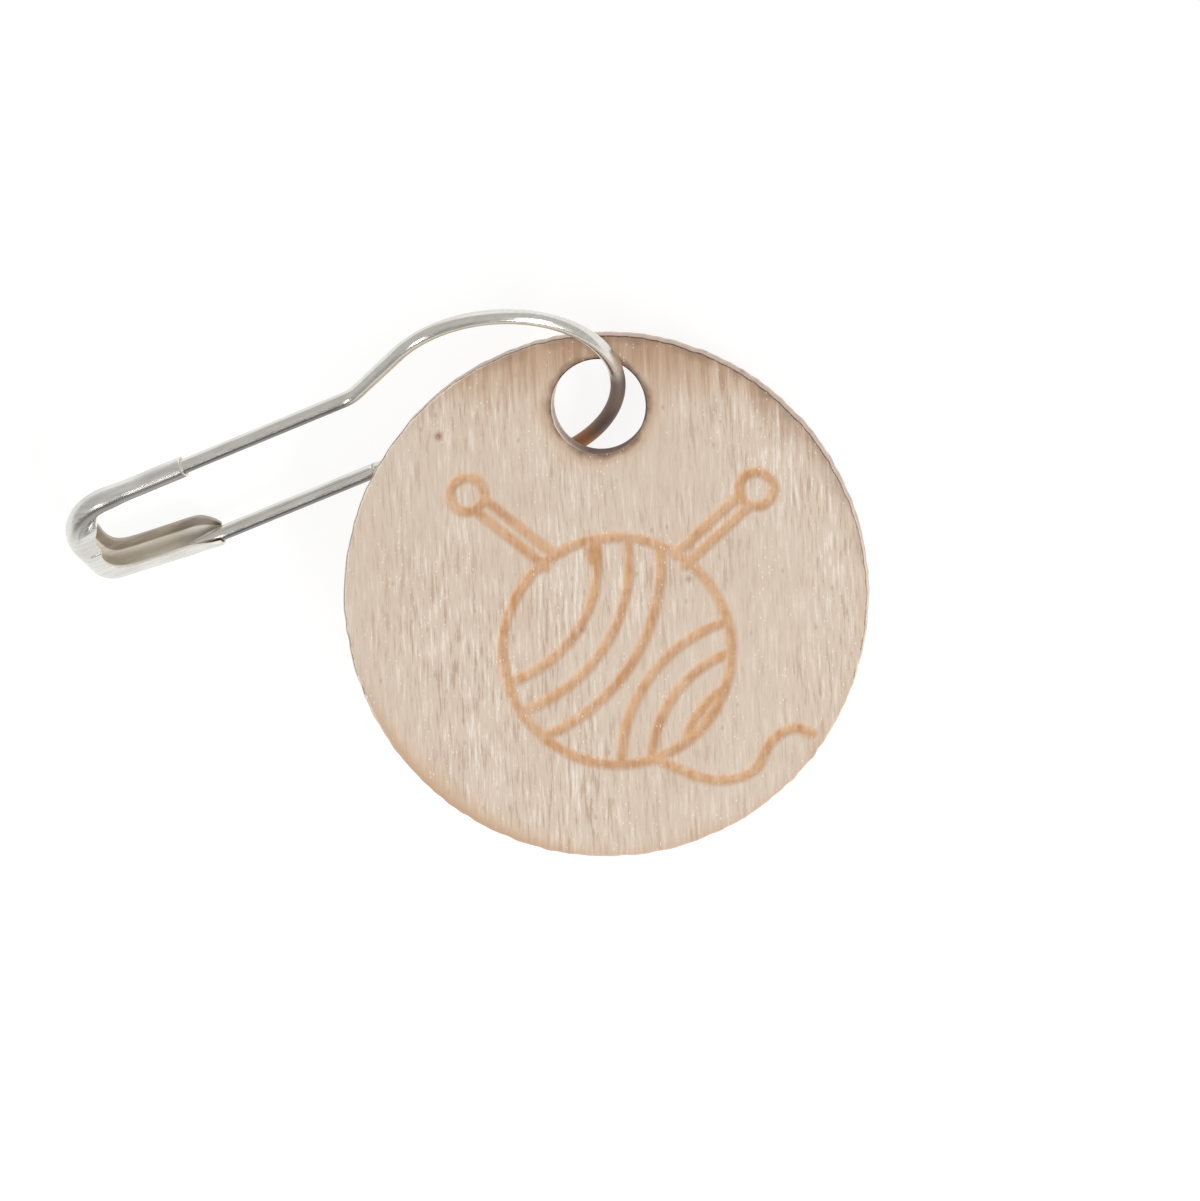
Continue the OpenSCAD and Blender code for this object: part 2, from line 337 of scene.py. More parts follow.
# ---------------------------------------------------------------- wood
PALE, BASE, LINE = (0.785, 0.69, 0.605), (0.642, 0.53, 0.432), (0.49, 0.362, 0.28)
BAND, FADED, PAINTED_EDGE_LIGHT = (0.59, 0.445, 0.34), (0.655, 0.578, 0.50), (0.93, 0.86, 0.78)
TAN, SMOKE, CHAR = (0.59, 0.41, 0.27), (0.395, 0.245, 0.158), (0.145, 0.092, 0.068)
AMBER, BURNT, SPECK = (0.62, 0.36, 0.185), (0.46, 0.215, 0.088), (0.30, 0.125, 0.075)
PORE, GLINT = (0.33, 0.235, 0.175), (0.95, 0.92, 0.88)
HOT_SIDE, WARM_SIDE, SHADED_LOW_SIDE, SHADED_EDGE_SIDE = 68, 230, 285, 158

wood = Surface("birch_ply")
fine = wood.noise((9500, 950, 9500), 3.0, 0.65)
middle = wood.noise((3600, 260, 3600), 3.0, 0.6, 0.1)
wide = wood.noise((900, 70, 900), 2.0, 0.5, 0.2)
patch = wood.noise((260, 170, 260), 3.0, 0.5)
drip = wood.noise((4600, 150, 900), 3.0, 0.65)
crumb = wood.noise((2600, 2600, 900), 4.0, 0.65)
lump = wood.noise((1100, 1100, 900), 2.0, 0.5)
streak = wood.add(wood.times(fine, 0.68), wood.times(middle, 0.32))
colour = wood.ramp(streak, [(0.395, LINE), (0.473, BASE), (0.53, BASE), (0.615, PALE)])
colour = wood.mix(wood.span(wide, 0.42, 0.66, 0.0, 0.35), colour, BAND)
colour = wood.mix(wood.span(patch, 0.43, 0.66, 0.0, 0.5), colour, FADED)

# heat of the cut: most at the upper right and a little at the lower left; the rim along the bottom is
# darkened as painted shade
y_mm = wood.times(wood.xyz()["Y"], 1000.0)
hole_mm = wood.times(wood.measure("DISTANCE", wood.place, (0, HOLE_OFF * MM, DISC_T / 2 * MM)), 1000.0)
rim_mm = wood.measure("LENGTH", wood.scaled((1000, 1000, 0)))
up_side = wood.span(y_mm, 0.0, 9.0)
heat = wood.lobe(HOT_SIDE, 0.35, 0.95)
# painted shade: the second lobe darkens the rim along the bottom
low_heat_and_shade = wood.most(wood.lobe(WARM_SIDE, 0.74, 0.95), wood.times(wood.lobe(SHADED_LOW_SIDE, 0.3, 0.8), 0.38))
near_hole = wood.add(hole_mm, wood.span(lump, 0.3, 0.7, -0.12, 0.10))

# tan, then smoke that runs down the grain from the upper rim, then char on the edges
run = wood.times(wood.span(drip, 0.38, 0.66, -0.1, 1.7), up_side)
tan_rim = wood.times(wood.span(rim_mm, 8.6, 9.5), wood.most(low_heat_and_shade, 0.08))
tan_top = wood.most(wood.times(up_side, wood.span(patch, 0.32, 0.60, 0.0, 0.14)),
                    wood.span(patch, 0.42, 0.66, 0.0, 0.2), wood.span(y_mm, 6.8, 9.0, 0.0, 0.76))
tan_hole = wood.span(hole_mm, 1.8, 2.9, 0.5, 0.0)
colour = wood.mix(wood.most(tan_top, tan_rim, tan_hole), colour, TAN)
smoke_rim = wood.times(wood.span(wood.add(rim_mm, wood.times(run, heat)), 8.95, 9.95, 0.0, 0.85),
                       wood.span(heat, 0.0, 1.0, 0.15, 0.9))
smoke_low = wood.times(wood.span(rim_mm, 9.1, 9.55, 0.0, 0.45), low_heat_and_shade)
smoke_top = wood.span(wood.add(y_mm, run), 7.4, 10.2, 0.0, 0.93)
smoke_hole = wood.span(near_hole, 1.72, 2.2, 0.8, 0.0)
colour = wood.mix(wood.most(smoke_rim, smoke_low, smoke_top, smoke_hole, clamp=True), colour, SMOKE)
ragged = wood.add(rim_mm, wood.add(wood.span(lump, 0.35, 0.65, -0.17, 0.19),
                                   wood.span(crumb, 0.3, 0.7, -0.05, 0.05)))
char_rim = wood.times(wood.span(ragged, 9.18, 9.52), wood.span(heat, 0.0, 1.0, 0.0, 0.38))
char_hole = wood.times(wood.span(near_hole, 1.77, 1.96, 1.0, 0.0),
                       wood.span(crumb, 0.35, 0.6, 0.85, 0.45))
colour = wood.mix(wood.most(char_rim, char_hole, clamp=True), colour, CHAR)

# engraved lines: amber, browner where the beam lingered, thinner where it crossed hard grain
burn = wood.attr("burn")
linger = wood.most(wood.span(lump, 0.46, 0.64, 0.0, 0.8), wood.span(crumb, 0.50, 0.62, 0.0, 0.6))
linger = wood.times(linger, wood.times(burn, burn))
colour = wood.mix(wood.times(burn, wood.span(streak, 0.38, 0.62, 1.0, 0.62)), colour,
                  wood.mix(linger, AMBER, BURNT))
colour = wood.mix(wood.attr("speck"), colour, SPECK)

# painted light: the rim's edge is lightened on the side that the light leaves in shade
painted_edge_light = wood.times(wood.span(rim_mm, 9.40, 9.50, 0.0, 0.8), wood.lobe(SHADED_EDGE_SIDE, 0.45, 0.85))
colour = wood.mix(painted_edge_light, colour, PAINTED_EDGE_LIGHT)

# pores, and painted glints where fibres catch the light
pores = wood.flecks((1700, 1000, 900), 0.10, 0.02, 0.14)
colour = wood.mix(wood.times(pores, 0.45), colour, PORE)
sparkle = wood.noise((1500, 330, 900), 2.0, 0.5)
glint = wood.times(wood.flecks((8200, 4400, 1900), 0.13, 0.03, 0.24),
                   wood.span(sparkle, 0.46, 0.62, 0.1, 1.0))
wood.put("Base Color", wood.mix(wood.times(glint, 0.7), colour, GLINT))
wood.put("Specular IOR Level", 0.3)
wood.put("Roughness", wood.span(streak, 0.3, 0.7, 0.78, 0.62))
wood.bump(streak, 0.35, 0.00004)

# cut wall: three pale pinkish plies, smoked in patches and dark where the beam went in
BEAM_LINE, SMOKED, HOLE_WALL_SHADE = (0.50, 0.36, 0.27), (0.25, 0.165, 0.13), (0.17, 0.112, 0.088)
# the last, lightest stop is painted light along the wall's top edge
PLIES = [(0.0, (0.42, 0.30, 0.235)), (0.05, (0.74, 0.615, 0.52)), (0.31, (0.75, 0.625, 0.53)),
         (0.345, (0.60, 0.465, 0.375)), (0.635, (0.63, 0.495, 0.405)), (0.67, (0.76, 0.64, 0.545)),
         (0.95, (0.78, 0.66, 0.565)), (1.0, (0.86, 0.73, 0.62))]

cut = Surface("cut_edge")
x_m, _, z_m = cut.xyz()
soot = cut.noise((1700, 1700, 500), 4.0, 0.65)
beam = cut.noise((5200, 5200, 260), 2.0, 0.55)
level = cut.add(cut.times(z_m, 1000.0), cut.span(soot, 0.3, 0.7, -0.04, 0.04))
scorch = cut.lobe(HOT_SIDE, 0.35, 0.95)
plies = cut.ramp(cut.span(level, -DISC_T / 2, DISC_T / 2), PLIES)
plies = cut.mix(cut.span(beam, 0.42, 0.66, 0.0, 0.3), plies, BEAM_LINE)
smoked = cut.times(cut.span(level, -0.1, 0.6, 0.0, 0.5), scorch)
patches = cut.times(cut.span(soot, 0.47, 0.70, 0.0, 0.75), cut.span(scorch, 0.0, 1.0, 0.12, 0.8))
plies = cut.mix(cut.most(smoked, patches), plies, SMOKED)
# painted shade: the hole's own wall is darkened towards its right
hole_far = cut.measure("DISTANCE", cut.scaled((1000, 1000, 0)), (0, HOLE_OFF, 0))
in_hole = cut.span(hole_far, 1.9, 2.1, 1.0, 0.0)
cut.put("Base Color", cut.mix(cut.times(in_hole, cut.span(x_m, -0.0016, -0.0004, 0.0, 0.9)), plies, HOLE_WALL_SHADE))
cut.put("Roughness", 0.85)
cut.bump(soot, 0.4, 0.00006)

# ---------------------------------------------------------------- wire
SIDES = 28
# in the pin's frame, across the wire: the way that its upper face looks, and its near flank
UPPER_FACE, NEAR_FLANK = (0.746, 0.63), (-0.645, 0.764)


def flank_turn(n_in, n_z):
    """Degrees by which a round surface's normal turns from the upper face towards the near flank."""
    return np.degrees(np.arctan2(NEAR_FLANK[0] * n_in + NEAR_FLANK[1] * n_z,
                                 UPPER_FACE[0] * n_in + UPPER_FACE[1] * n_z))


def sweep(path, radius, head=(), tail=()):
    """Closed tube along a path in the pin's plane: its points, faces and ring centres.

    Head and tail are more rings, as pairs of the distance beyond the end and the radius.
    """
    tangents = np.gradient(path, axis=0)
    tangents /= np.linalg.norm(tangents, axis=1)[:, None]
    rings = [(path[0] - tangents[0] * d, tangents[0], r) for d, r in reversed(head)]
    rings += zip(path, tangents, np.broadcast_to(radius, (len(path),)))
    rings += [(path[-1] + tangents[-1] * d, tangents[-1], r) for d, r in tail]
    verts = []
    for centre, tangent, r in rings:
        normal = np.array([-tangent[1], tangent[0]])
        for a in TAU * np.arange(SIDES) / SIDES:
            verts.append((*(centre + normal * r * math.cos(a)), r * math.sin(a)))
    faces = []
    for i in range(len(rings) - 1):
        for k in range(SIDES):
            a, b = i * SIDES + k, i * SIDES + (k + 1) % SIDES
            faces.append((a, b, b + SIDES, a + SIDES))
    faces.append(tuple(reversed(range(SIDES))))
    faces.append(tuple(range(len(verts) - SIDES, len(verts))))
    return verts, faces, np.array([centre for centre, _, _ in rings])


def painted_flank_shade(centres, weight):
    """Painted shade at each point of a swept wire, on the flank that faces the near side."""
    along_x = np.sign(np.gradient(centres[:, 0]))[:, None]
    a = TAU * np.arange(SIDES) / SIDES
    turned = flank_turn(along_x * np.cos(a), np.broadcast_to(np.sin(a), (len(centres), SIDES)))
    return (weight[:, None] * smoothstep(8, 40, turned)).ravel()


def neck(side, radius, turn):
    """Where a neck's straight meets the bulb, and the X where its arm ends; side is 1 or -1."""
    a = math.radians(turn)
    tangent = BULB + BULB_R * np.array([-math.sin(a), side * math.cos(a)])
    rise = side * tangent[1] - ARM_Y
    return tangent, tangent[0] - rise / math.tan(a) - radius * math.tan(a / 2)


up_tan, up_x = neck(1, UP_R, UP_TURN)
lo_tan, lo_x = neck(-1, LO_R, LO_TURN)
BALL = (lo_x, -ARM_Y)

# the lower end is a shallow cup for the arm's ball: rings that run back into the wire
cup_r = WIRE_R + CUP_CLEARANCE
cup_depth = math.sqrt(cup_r ** 2 - WIRE_R ** 2)
cup = []
for k in range(1, 6):
    a = math.asin(WIRE_R / cup_r) * (1 - k / 6)
    cup.append((cup_depth - cup_r * math.cos(a), cup_r * math.sin(a)))

up_neck = arc_pts((up_x, ARM_Y + UP_R), UP_R, -90, -90 + UP_TURN, 10)
lo_neck = arc_pts((lo_x, -ARM_Y - LO_R), LO_R, 90 - LO_TURN, 90 - math.degrees(cup_depth / LO_R), 12)
wire_path = joined(line_pts((WIRE_X, ARM_Y), (up_x, ARM_Y), 26), up_neck,
                   line_pts(up_neck[-1], up_tan, 8),
                   arc_pts(BULB, BULB_R, 90 + UP_TURN, -90 - LO_TURN, 110),
                   line_pts(lo_tan, lo_neck[0], 8), lo_neck)
verts, faces, centres = sweep(wire_path, WIRE_R, tail=cup, head=[(WIRE_CHAMFER, WIRE_R - WIRE_CHAMFER)])

# painted shade and reflection of the brown hole wall, from where the wire enters the hole to where it
# goes under the disc, by angle on the bulb
from_bulb = centres - BULB
angle = np.degrees(np.arctan2(from_bulb[:, 1], from_bulb[:, 0]))
on_bulb = abs(np.hypot(from_bulb[:, 0], from_bulb[:, 1]) - BULB_R) < 0.05
hole_shaded = on_bulb * smoothstep(-14, -25, angle) * smoothstep(-100, -82, angle)
warm_reflected = on_bulb * smoothstep(-56, -74, angle)
straight = smoothstep(up_x + 0.6, up_x - 0.2, centres[:, 0])
bulb_wire = new_object("bulb_wire_drawn", verts, faces, PIN, "pin", [wire.mat],
                       {"hole_shade_reflection": np.repeat(hole_shaded, SIDES), "warm_reflection": np.repeat(warm_reflected, SIDES),
                        "painted_flank_shade": painted_flank_shade(centres, straight)})
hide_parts("bulb_wire")

# pointed arm: a ground point, a straight shank and a ball end
point_end = POINT_X + POINT_LENGTH
arm_path = joined(line_pts((POINT_X, -ARM_Y), (point_end, -ARM_Y), 26),
                  line_pts((point_end, -ARM_Y), BALL, 24))
taper = POINT_FLAT_R + (WIRE_R - POINT_FLAT_R) * np.linspace(0, 1, 26) ** 0.65
arm_r = np.concatenate([taper, np.full(len(arm_path) - len(taper), WIRE_R)])
ball = [(WIRE_R * math.sin(a), WIRE_R * math.cos(a)) for a in math.pi / 2 * np.arange(1, 8) / 8]
verts, faces, centres = sweep(arm_path, arm_r, head=[POINT_CAP], tail=ball)
pin_arm = new_object("pin_arm_drawn", verts, faces, PIN, "arm", [wire.mat],
                     {"painted_flank_shade": painted_flank_shade(centres, np.ones(len(centres)))})
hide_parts("pin_arm")

# ---------------------------------------------------------------- clasp
CORNER_TURN = 90 - SLOPE_DEG
channel_way = np.array([math.cos(SLOPE), -math.sin(SLOPE)])
corner_tan = CORNER_R * math.tan(math.radians(CORNER_TURN / 2))
corner_point = MOUTH + channel_way * (END_X - MOUTH[0]) / channel_way[0]
CORNER = np.array([END_X + CORNER_R, corner_point[1] + corner_tan])
channel_start = corner_point + corner_tan * channel_way

# inner edges of the two walls, from the end of the closed wrap to the channel's mouth
FRONT_LOW = rounded([(1.065, 0.0), (1.03, -0.10), (0.85, -0.42), (0.82, -0.75), (0.95, -1.12),
                     (1.35, -1.36), (1.9, -1.46)])
FRONT_LIP = rounded([(1.9, -1.46), (2.9, -1.575), (3.8, -1.625), (4.2, -1.75), (4.55, -1.93),
                     (4.93, -2.03)], 2)
REAR_LOW = rounded([(1.245, 0.0), (1.25, -0.30), (1.38, -0.60), (1.70, -0.78), (2.1, -0.845)])
REAR_LIP = rounded([(2.1, -0.845), (3.3, -0.985), (4.25, -1.075), (4.62, -1.15), (4.86, -1.42),
                    (5.02, -1.78), (5.06, -2.02)], 2)
# shares of the low edges that lie beside the end, the corner and the first LOW_SHARE of the channel
FRONT_STOPS = {"end": (0.0, 0.42), "corner": (0.42, 0.70), "channel": (0.70, 1.0)}
REAR_STOPS = {"end": (0.0, 0.30), "corner": (0.30, 0.75), "channel": (0.75, 1.0)}
LOW_SHARE = 0.2
# depths of the walls at the end of the bend, less the front wall's last dip
FRONT_GAIN, FRONT_DIP, REAR_DEPTH = 0.28, 0.015, 0.82
WALL_STEPS, ROUND_STEPS = 13, 9
WALL_TURN = math.radians(87)
# degrees of the bend over which the wrap opens: its walls, from the inner edges out, and its back
WALL_OPENS, OPENS_LATER, BACK_OPENS = (14, 34), 40, (25, 75)
# degrees past the upper face over which the painted shade sets in
PAINTED_SHADE_TURN = (17, 36)
# the front lip rolls outward towards the mouth, and the front wall of the end has a small dent
LIP_ROLL = 0.05
DENT, DENT_Y, DENT_WIDTH = 0.035, -0.09, 0.04
STATIONS = (("tube", 44), ("bend", 60), ("end", 44), ("corner", 22), ("channel", 60))


def spine(part, n):
    """Points of the strip's middle line and their outward normals."""
    if part == "tube":
        return line_pts((TUBE_X, ARM_Y), (BEND_X, ARM_Y), n), np.tile([0.0, 1.0], (n, 1))
    if part == "bend":
        return arc_pts((BEND_X, 0), ARM_Y, 90, 180, n), arc_pts((0, 0), 1, 90, 180, n)
    if part == "end":
        return line_pts((END_X, 0), (END_X, CORNER[1]), n), np.tile([-1.0, 0.0], (n, 1))
    if part == "corner":
        return (arc_pts(CORNER, CORNER_R, 180, 180 + CORNER_TURN, n),
                arc_pts((0, 0), 1, 180, 180 + CORNER_TURN, n))
    return line_pts(channel_start, MOUTH, n), np.tile([-math.sin(SLOPE), -math.cos(SLOPE)], (n, 1))


def wall_edge(part, share, low, lip, stops):
    """The inner edge of a wall beside the end, the corner or the channel."""
    if part == "channel":
        if share >= LOW_SHARE:
            return along(lip, (share - LOW_SHARE) / (1 - LOW_SHARE))
        share /= LOW_SHARE
    a, b = stops[part]
    return along(low, a + (b - a) * share)


def wall_edges(part, share, point, outward):
    """The inner edges of the front and the rear wall at one station."""
    if part == "tube":
        edge = point - outward * sheet_radius(part, share)
        return edge, edge
    if part == "bend":
        bent = 90 * share
        front = CHANNEL_R + FRONT_GAIN * smoothstep(12, 48, bent) - FRONT_DIP * smoothstep(50, 90, bent)
        rear = CHANNEL_R + (REAR_DEPTH - CHANNEL_R) * smoothstep(15, 80, bent)
        return point - outward * front, point - outward * rear
    return (wall_edge(part, share, FRONT_LOW, FRONT_LIP, FRONT_STOPS),
            wall_edge(part, share, REAR_LOW, REAR_LIP, REAR_STOPS))


def sheet_radius(part, share):
    """Radius of the sheet's middle surface: tight on the tube, wider from the bend on."""
    return WRAP_R + (CHANNEL_R - WRAP_R) * smoothstep(0.73, 1.0, share) if part == "tube" else CHANNEL_R


def wrap(part, share, start, end):
    """1 where the sheet is wrapped round the wire, 0 where it is open, in degrees of the bend."""
    if part == "bend":
        return 1 - smoothstep(start, end, 90 * share)
    return float(part == "tube")


def half_section(part, share, point, outward, side, edge):
    """One half of the strip's section, from the wall's edge to the middle of its back.

    Gives the points, their painted shade and how much each lies on the channel's bed.
    """
    r = sheet_radius(part, share)
    inward = edge - point
    depth = np.linalg.norm(inward)
    inward = inward / depth
    roll = LIP_ROLL * smoothstep(0.55, 0.85, share) if part == "channel" else 0.0
    front = side > 0
    pts, shades, beds = [], [], []
    for j in range(WALL_STEPS, 0, -1):
        tau = j / WALL_STEPS
        turn = WALL_TURN * tau
        # the closed wrap opens on a slant, first at its inner edges
        late = OPENS_LATER * (1 - tau)
        shut = wrap(part, share, WALL_OPENS[0] + late, WALL_OPENS[1] + late)
        dist = (1 - shut) * tau * depth + shut * r * math.sin(turn)
        z = r * ((1 - shut) + shut * math.cos(turn))
        if front:
            if part == "end":
                y = point[1] + inward[1] * dist
                z -= DENT * math.exp(-((y - DENT_Y) / DENT_WIDTH) ** 2) * smoothstep(0.1, 0.5, tau)
            z += roll * tau * tau
        pts.append((*(point + inward * dist), side * z))
        turned = flank_turn(-math.sin(turn) * outward[1], side * math.cos(turn))
        shades.append(front * shut * smoothstep(*PAINTED_SHADE_TURN, turned))
        # the bed reaches half way up the rear wall
        beds.append(1.0 if front else 1 - smoothstep(0.44, 0.54, tau))
    shut = wrap(part, share, *BACK_OPENS)
    for j in range(ROUND_STEPS):
        a = math.pi / 2 * (1 - j / ROUND_STEPS)
        pts.append((*(point + outward * r * math.cos(a)), side * r * math.sin(a)))
        turned = flank_turn(math.cos(a) * outward[1], side * math.sin(a))
        shades.append(front * shut * smoothstep(*PAINTED_SHADE_TURN, turned))
        beds.append(1.0)
    return pts, shades, beds


verts, shades, beds = [], [], []
sections = 0
for part, n in STATIONS:
    points, normals = spine(part, n)
    for i in range(0 if part == "tube" else 1, n):
        share = np.linspace(0, 1, n)[i]
        here = part, share, points[i], normals[i]
        front_edge, rear_edge = wall_edges(*here)
        front = half_section(*here, 1, front_edge)
        rear = half_section(*here, -1, rear_edge)
        back = (*(points[i] + normals[i] * sheet_radius(part, share)), 0.0)
        for total, one, middle_value, other in zip((verts, shades, beds), front, (back, 0.0, 1.0), rear):
            total += one + [middle_value] + other[::-1]
        sections += 1
per_section = len(verts) // sections
faces = []
for i in range(sections - 1):
    for a in range(i * per_section, (i + 1) * per_section - 1):
        faces.append((a, a + 1, a + 1 + per_section, a + per_section))
clasp = new_object("clasp_folded", verts, faces, PIN, "pin",
                   [clasp_out.mat, clasp_in.mat], {"painted_flank_shade": shades, "bed": beds})
solid = clasp.modifiers.new("sheet", "SOLIDIFY")
solid.thickness = SHEET * MM
solid.offset = 0.0
solid.use_even_offset = False
solid.material_offset = 1
solid.material_offset_rim = 1
bevel = clasp.modifiers.new("edge", "BEVEL")
bevel.width = SHEET / 4 * MM
bevel.segments = 2
bevel.limit_method = "ANGLE"
bevel.angle_limit = math.radians(50)
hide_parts("clasp")

# ---------------------------------------------------------------- motif on the disc
# generic: a ball of yarn with two needles stuck in it and a loose end
YARN, YARN_R = np.array([0.35, -2.0]), 4.15
CROSS = YARN + (-5.2, 3.4)
CROSS_RADII, CROSS_IN, CROSS_OUT = (4.6, 5.75, 6.9), 4.45, 7.05
NEEDLES = (((-4.9, 3.85), (-1.95, 1.35)), ((5.6, 3.75), (2.75, 1.25)))
NEEDLE_HEAD_R, NEEDLE_START, NEEDLE_HALF = 0.62, 0.6, 0.27
LOOSE_END = [(1.6, -5.95), (3.6, -6.95), (5.3, -6.6), (5.7, -5.5), (6.6, -4.9), (7.3, -5.2)]


def windings(centre, radius, start, end):
    """The stretches of an arc that lie on the ball of yarn."""
    points = arc_pts(centre, radius, start, end, 200)
    on_ball = np.hypot(*(points - YARN).T) < YARN_R
    breaks = np.flatnonzero(np.diff(on_ball)) + 1
    runs = zip(np.split(points, breaks), np.split(on_ball, breaks))
    return [run for run, on in runs if on[0] and len(run) > 3]


def passing_under(centre, radii, start, end, side):
    """Windings that stop short of the three that cross the middle; side is -1 inside, 1 outside."""
    limit = CROSS_IN if side < 0 else CROSS_OUT
    out = []
    for radius in radii:
        for run in windings(centre, radius, start, end):
            seen = run[side * np.hypot(*(run - CROSS).T) > side * limit]
            out += [seen] if len(seen) > 3 else []
    return out


strokes = [arc_pts(YARN, YARN_R, 0, 360, 120)]
for radius in CROSS_RADII:
    strokes += windings(CROSS, radius, -90, 60)
strokes += passing_under(YARN + (5.3, 4.6), (5.1, 6.2), 150, 300, -1)
strokes += passing_under(YARN + (5.6, -4.4), (3.4, 4.5, 5.6), 60, 230, 1)
for head, foot in NEEDLES:
    head, foot = np.array(head), np.array(foot)
    way = (foot - head) / np.linalg.norm(foot - head)
    strokes.append(arc_pts(head, NEEDLE_HEAD_R, 0, 360, 32))
    across = np.array([-way[1], way[0]]) * NEEDLE_HALF
    for s in (-1, 1):
        strokes.append(line_pts(head + way * NEEDLE_START + across * s, foot + across * s, 12))
strokes.append(rounded(LOOSE_END, 3))
segments = np.concatenate([np.concatenate([s[:-1], s[1:]], 1) for s in strokes])


def motif_distance(points, chunk=4000):
    """Distance from each point to the nearest stroke, a chunk of points at a time."""
    a = segments[:, :2]
    ab = segments[:, 2:] - a
    length_sq = (ab ** 2).sum(1)
    best = np.empty(len(points))
    for start in range(0, len(points), chunk):
        d = points[start:start + chunk, None, :] - a[None]
        t = np.clip((d * ab[None]).sum(2) / length_sq[None], 0, 1)
        d = d - t[..., None] * ab[None]
        best[start:start + chunk] = np.sqrt((d ** 2).sum(2)).min(1)
    return best


# ---------------------------------------------------------------- charm
N_A, N_R = ((640, 200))
BACK_ROWS = 24
# how deep a stroke is engraved, and how far from its middle the groove and the burn fade out
ENGRAVED, GROOVE, BURN = 0.055, (0.24, 0.08), (0.31, 0.07)
# waves round the rim: the laser's cut wanders by up to 0.07 mm
WAVES, WAVE_SIZE, WAVE_PHASE = range(5, 110), 0.0016, 6.28
# depth below the top face and inset of each ring of the two walls
WALL_RINGS = ((0.012, 0.012), (0.05, 0.0), (0.3, 0.0), (0.6, 0.0), (0.9, 0.0), (1.2, 0.0), (1.45, 0.0),
              (1.488, 0.012), (1.5, DISC_EDGE))
# place, radius and strength of the dark specks
SPECKS = ((-5.85, 6.0, 0.13, 1.0), (3.05, 0.55, 0.12, 0.55), (-0.9, -1.2, 0.1, 0.5))

rng = np.random.default_rng(7)
theta = np.linspace(0, TAU, N_A, endpoint=False)
unit = np.stack([np.sin(theta), np.cos(theta)], 1)
wander = sum(rng.normal(0, WAVE_SIZE) * np.cos(f * theta + rng.uniform(0, WAVE_PHASE)) for f in WAVES)
outer = (DISC_R + wander - wander.max())[:, None] * unit
hole = np.array([0, HOLE_OFF])
inner = hole + HOLE_R * unit


def rim_ring(inset):
    return outer * (1 - inset / DISC_R)


def hole_ring(inset):
    return hole + (inner - hole) * (1 + inset / HOLE_R)


def at_height(ring, z):
    return np.column_stack([ring, np.full(N_A, z)])


def strip(a, b, flip=False):
    """Faces between two rings of points."""
    for k in range(N_A):
        after = (k + 1) % N_A
        face = (a + k, a + after, b + after, b + k)
        faces.append(face[::-1] if flip else face)


def stack(rings, last, flip=False):
    """Join rings of points, one after the other, to a ring that is there; gives the last one's start."""
    for ring in rings:
        first = sum(len(p) for p in points)
        points.append(ring)
        strip(last, first, flip)
        last = first
    return last


# the face: rings from the hole to the rim, both pulled in by the rounding of their edges
t = np.linspace(0, 1, N_R + 1)[:, None, None]
face_xy = inner[None] * (1 - t) + outer[None] * t
from_line = motif_distance(face_xy.reshape(-1, 2))
face_z = DISC_T / 2 - ENGRAVED * smoothstep(*GROOVE, from_line)
face_xy[-1], face_xy[0] = rim_ring(DISC_EDGE), hole_ring(DISC_EDGE)
points, faces = [np.column_stack([face_xy.reshape(-1, 2), face_z])], []
for i in range(N_R):
    strip(i * N_A, (i + 1) * N_A, True)
# the rim's wall, the hole's wall and the back, from the hole out
rim_last = stack([at_height(rim_ring(inset), DISC_T / 2 - z) for z, inset in WALL_RINGS], N_R * N_A, True)
hole_last = stack([at_height(hole_ring(inset), DISC_T / 2 - z) for z, inset in WALL_RINGS], 0)
walls_end = len(faces)
back = [at_height(hole_ring(DISC_EDGE) * (1 - f) + rim_ring(DISC_EDGE) * f, -DISC_T / 2)
        for f in np.arange(1, BACK_ROWS) / BACK_ROWS]
strip(stack(back, hole_last), rim_last)
points = np.concatenate(points)

burned, speck = np.zeros(len(points)), np.zeros(len(points))
on_face = len(from_line)
burned[:on_face] = smoothstep(*BURN, from_line)
for x, y, radius, strength in SPECKS:
    off = (points[:on_face, 0] - x) ** 2 + (points[:on_face, 1] - y) ** 2
    speck[:on_face] = np.maximum(speck[:on_face], strength * np.exp(-off / radius ** 2))
charm = new_object("charm_disc", points, faces, DISC, "charm", [wood.mat, cut.mat],
                   {"burn": burned, "speck": speck})
# the walls are cut edge, but for the first ring of the rim, which rounds the face's own edge
material = np.zeros(len(faces), np.int32)
material[(N_R + 1) * N_A:walls_end] = 1
charm.data.polygons.foreach_set("material_index", material)
charm.data.update()
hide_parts("wood_disc")

# ---------------------------------------------------------------- floor
FLOOR_HALF = 0.6
corners = [(-1, -1), (1, -1), (1, 1), (-1, 1)]
floor_mesh = bpy.data.meshes.new("floor")
floor_mesh.from_pydata([(x * FLOOR_HALF, y * FLOOR_HALF, 0) for x, y in corners], [], [(0, 1, 2, 3)])
floor = bpy.data.objects.new("floor", floor_mesh)
bpy.context.scene.collection.objects.link(floor)
# a light table: the floor glows a little, so the shadows on it stay faint
pale = Surface("pale_floor")
pale.put("Base Color", (0.22, 0.22, 0.22))
pale.put("Roughness", 0.9)
pale.put("Specular IOR Level", 0.0)
pale.put("Emission Color", (1, 1, 1))
pale.put("Emission Strength", 0.84)
floor_mesh.materials.append(pale.mat)

# ---------------------------------------------------------------- light
bpy.context.scene.view_settings.view_transform = "Standard"

# studio tent: even grey overhead, whiter low on the far side, dark low on the near side
world = bpy.data.worlds.new("studio")
world.use_nodes = True
tent = Tree(world.node_tree)
sky_way = tent.node("TexCoord").outputs["Generated"]
background = world.node_tree.nodes["Background"]


def toward(azimuth, lo, hi, a, b):
    """A smooth step in the sky from lo to hi as the direction turns towards an azimuth."""
    return tent.span(tent.measure("DOT_PRODUCT", sky_way, heading(azimuth)), a, b, lo, hi, smooth=True)


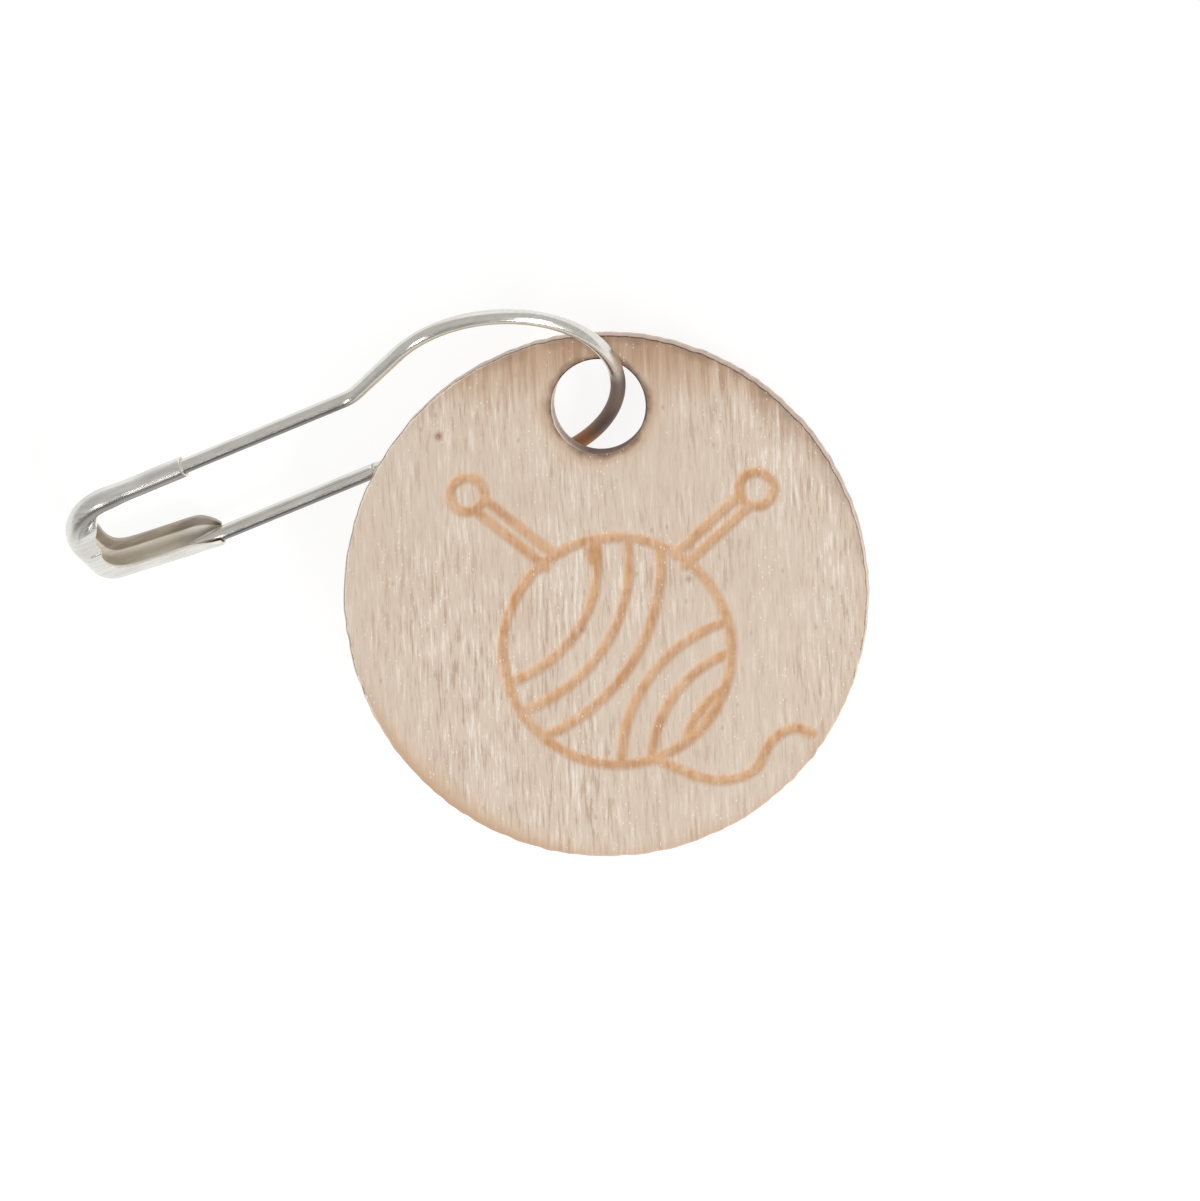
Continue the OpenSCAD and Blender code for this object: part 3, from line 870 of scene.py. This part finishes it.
near = tent.times(toward(-112, 0.0, 0.20, 0.40, 0.72),
                  tent.times(toward(-22, 1.0, 0.0, 0.30, 0.60), toward(158, 1.0, 0.0, 0.45, 0.75)))
tent.feed(background.inputs["Strength"], tent.calc("SUBTRACT", toward(75, 0.62, 1.15, 0.72, 0.95), near))
tent.feed(background.inputs["Color"], (1.0, 0.995, 0.98))
bpy.context.scene.world = world

LAMP_FAR = 0.35


def softbox(name, start, end, width, watts):
    """A strip of light that faces the object, from one azimuth and height to another."""
    one, two = heading(*start), heading(*end)
    z = (one + two).normalized()
    y = (two - one - z * (two - one).dot(z)).normalized()
    data = bpy.data.lights.new(name, "AREA")
    data.shape = "RECTANGLE"
    data.size, data.size_y = width, 2 * LAMP_FAR * math.tan(one.angle(two) / 2)
    data.energy = watts
    lamp = bpy.data.objects.new(name, data)
    bpy.context.scene.collection.objects.link(lamp)
    lamp.matrix_world = axes(y.cross(z), y, z, z * LAMP_FAR)


# the key gives the bulb and the clasp their highlights, the strip those of the near bend
softbox("key", (-92, 21), (-36, 48), 0.07, 0.86)
softbox("near_strip", (-152, 45), (-126, 27), 0.02, 0.09)

# ---------------------------------------------------------------- camera
CAM_RIGHT = Vector((0.90398, -0.38244, -0.19120))
CAM_UP = Vector((0.36930, 0.92374, -0.10157))
CAM_TARGET = Vector((3.590, -1.1058, 0.8191)) * MM
CAM_DIST, CAM_FIELD, SENSOR = 0.5, 43.68 * MM, 36.0

cam_data = bpy.data.cameras.new("camera")
cam_data.sensor_fit = "HORIZONTAL"
cam_data.sensor_width = SENSOR
cam_data.lens = SENSOR * CAM_DIST / CAM_FIELD
cam_data.clip_start = 0.01
cam_data.clip_end = 10
cam = bpy.data.objects.new("camera", cam_data)
bpy.context.scene.collection.objects.link(cam)
cam_back = CAM_RIGHT.cross(CAM_UP).normalized()
cam.matrix_world = axes(CAM_RIGHT, cam_back.cross(CAM_RIGHT).normalized(), cam_back,
                        CAM_TARGET + cam_back * CAM_DIST)
bpy.context.scene.camera = cam
